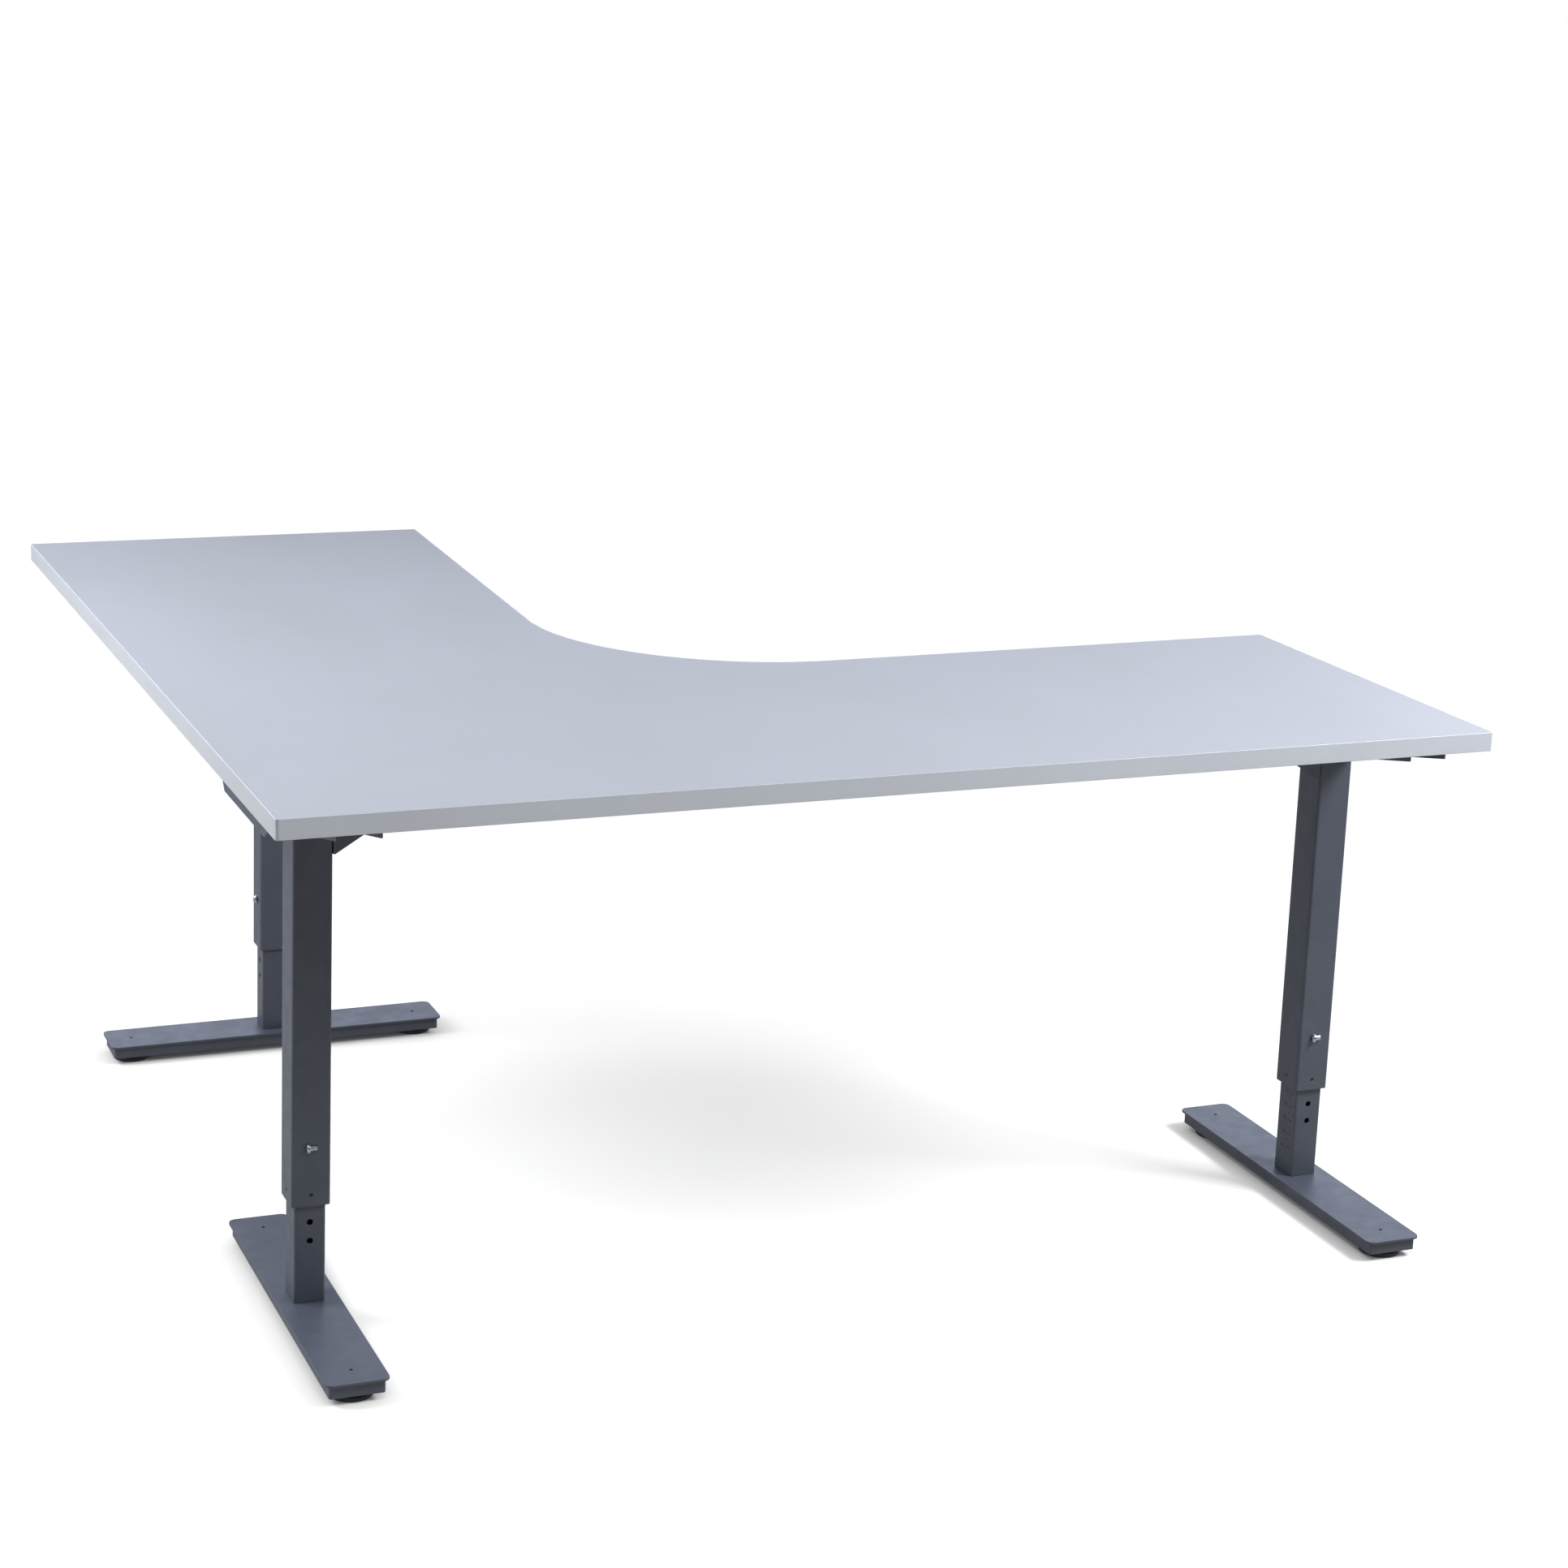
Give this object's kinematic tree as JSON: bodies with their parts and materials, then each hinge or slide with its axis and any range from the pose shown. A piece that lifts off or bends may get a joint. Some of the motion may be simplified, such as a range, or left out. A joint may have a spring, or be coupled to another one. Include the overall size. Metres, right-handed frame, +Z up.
{
  "type": "height adjustable corner desk",
  "caption": "L-shaped height adjustable desk on telescoping square-tube T-legs with lock bolts and levelling feet.",
  "frame": {"origin": "on the floor under the middle of the desk's outline", "axes": "+X along the main wing, +Y along the return wing, +Z up"},
  "size_m": [1.6, 1.6, 0.75],
  "materials": {
    "laminate_board": "light grey melamine, fine satin texture",
    "edge_band": "light grey plastic edge, satin",
    "powder_coat": "anthracite fine-grain powder coat",
    "inner_powder_coat": "anthracite powder coat, smoother",
    "black_plastic": "black moulded plastic, matt",
    "zinc_steel": "bright zinc plating"
  },
  "bodies": {
    "upper_frame": {"console_main_left": "powder_coat", "console_main_right": "powder_coat", "console_return": "powder_coat", "console_screw_main_left_front": "zinc_steel", "console_screw_main_left_rear": "zinc_steel", "console_screw_main_right_front": "zinc_steel", "console_screw_main_right_rear": "zinc_steel", "console_screw_return_front": "zinc_steel", "console_screw_return_rear": "zinc_steel", "guide_sleeve_main_left": "black_plastic", "guide_sleeve_main_right": "black_plastic", "guide_sleeve_return": "black_plastic", "gusset_main_left": "powder_coat", "gusset_main_right": "powder_coat", "joiner_plate_left": "powder_coat", "joiner_plate_right": "powder_coat", "joiner_screw_left_main": "zinc_steel", "joiner_screw_left_return": "zinc_steel", "joiner_screw_right_main": "zinc_steel", "joiner_screw_right_return": "zinc_steel", "main_board": "laminate_board", "main_crossbeam": "powder_coat", "main_edge_band": "edge_band", "outer_tube_main_left": "powder_coat", "outer_tube_main_right": "powder_coat", "outer_tube_return": "powder_coat", "return_board": "laminate_board", "return_crossbeam": "powder_coat", "return_edge_band": "edge_band"},
    "lower_leg_main_left": {"inner_tube_main_left": "inner_powder_coat", "inner_plug_main_left": "black_plastic", "foot_plate_main_left": "powder_coat", "foot_channel_main_left": "powder_coat", "glide_nut_main_left_rear": "zinc_steel", "glide_nut_main_left_front": "zinc_steel"},
    "lower_leg_main_right": {"inner_tube_main_right": "inner_powder_coat", "inner_plug_main_right": "black_plastic", "foot_plate_main_right": "powder_coat", "foot_channel_main_right": "powder_coat", "glide_nut_main_right_rear": "zinc_steel", "glide_nut_main_right_front": "zinc_steel"},
    "lower_leg_return": {"inner_tube_return": "inner_powder_coat", "inner_plug_return": "black_plastic", "foot_plate_return": "powder_coat", "foot_channel_return": "powder_coat", "glide_nut_return_rear": "zinc_steel", "glide_nut_return_front": "zinc_steel"},
    "lock_bolt_main_left": {"lock_bolt_main_left": "zinc_steel"},
    "lock_bolt_main_right": {"lock_bolt_main_right": "zinc_steel"},
    "lock_bolt_return": {"lock_bolt_return": "zinc_steel"},
    "glide_main_left_rear": {"glide_main_left_rear": "black_plastic"},
    "glide_main_left_front": {"glide_main_left_front": "black_plastic"},
    "glide_main_right_rear": {"glide_main_right_rear": "black_plastic"},
    "glide_main_right_front": {"glide_main_right_front": "black_plastic"},
    "glide_return_rear": {"glide_return_rear": "black_plastic"},
    "glide_return_front": {"glide_return_front": "black_plastic"}
  },
  "joints": [
    {"name": "leg_height_main_left", "type": "slide", "parent": "upper_frame", "child": "lower_leg_main_left", "axis": [0, 0, -1], "range_m": [-0.125, 0.075]},
    {"name": "leg_height_main_right", "type": "slide", "parent": "upper_frame", "child": "lower_leg_main_right", "axis": [0, 0, -1], "range_m": [-0.125, 0.075]},
    {"name": "leg_height_return", "type": "slide", "parent": "upper_frame", "child": "lower_leg_return", "axis": [0, 0, -1], "range_m": [-0.125, 0.075]},
    {"name": "bolt_out_main_left", "type": "slide", "parent": "upper_frame", "child": "lock_bolt_main_left", "axis": [0, -1, 0], "range_m": [0, 0.012]},
    {"name": "bolt_out_main_right", "type": "slide", "parent": "upper_frame", "child": "lock_bolt_main_right", "axis": [0, -1, 0], "range_m": [0, 0.012]},
    {"name": "bolt_out_return", "type": "slide", "parent": "upper_frame", "child": "lock_bolt_return", "axis": [-1, 0, 0], "range_m": [0, 0.012]},
    {"name": "level_main_left_rear", "type": "slide", "parent": "lower_leg_main_left", "child": "glide_main_left_rear", "axis": [0, 0, -1], "range_m": [-0.003, 0.004]},
    {"name": "level_main_left_front", "type": "slide", "parent": "lower_leg_main_left", "child": "glide_main_left_front", "axis": [0, 0, -1], "range_m": [-0.003, 0.004]},
    {"name": "level_main_right_rear", "type": "slide", "parent": "lower_leg_main_right", "child": "glide_main_right_rear", "axis": [0, 0, -1], "range_m": [-0.003, 0.004]},
    {"name": "level_main_right_front", "type": "slide", "parent": "lower_leg_main_right", "child": "glide_main_right_front", "axis": [0, 0, -1], "range_m": [-0.003, 0.004]},
    {"name": "level_return_rear", "type": "slide", "parent": "lower_leg_return", "child": "glide_return_rear", "axis": [0, 0, -1], "range_m": [-0.003, 0.004]},
    {"name": "level_return_front", "type": "slide", "parent": "lower_leg_return", "child": "glide_return_front", "axis": [0, 0, -1], "range_m": [-0.003, 0.004]}
  ],
  "couplings": [
    {"joint": "leg_height_main_right", "follows": "leg_height_main_left", "ratio": 1},
    {"joint": "leg_height_return", "follows": "leg_height_main_left", "ratio": 1}
  ]
}
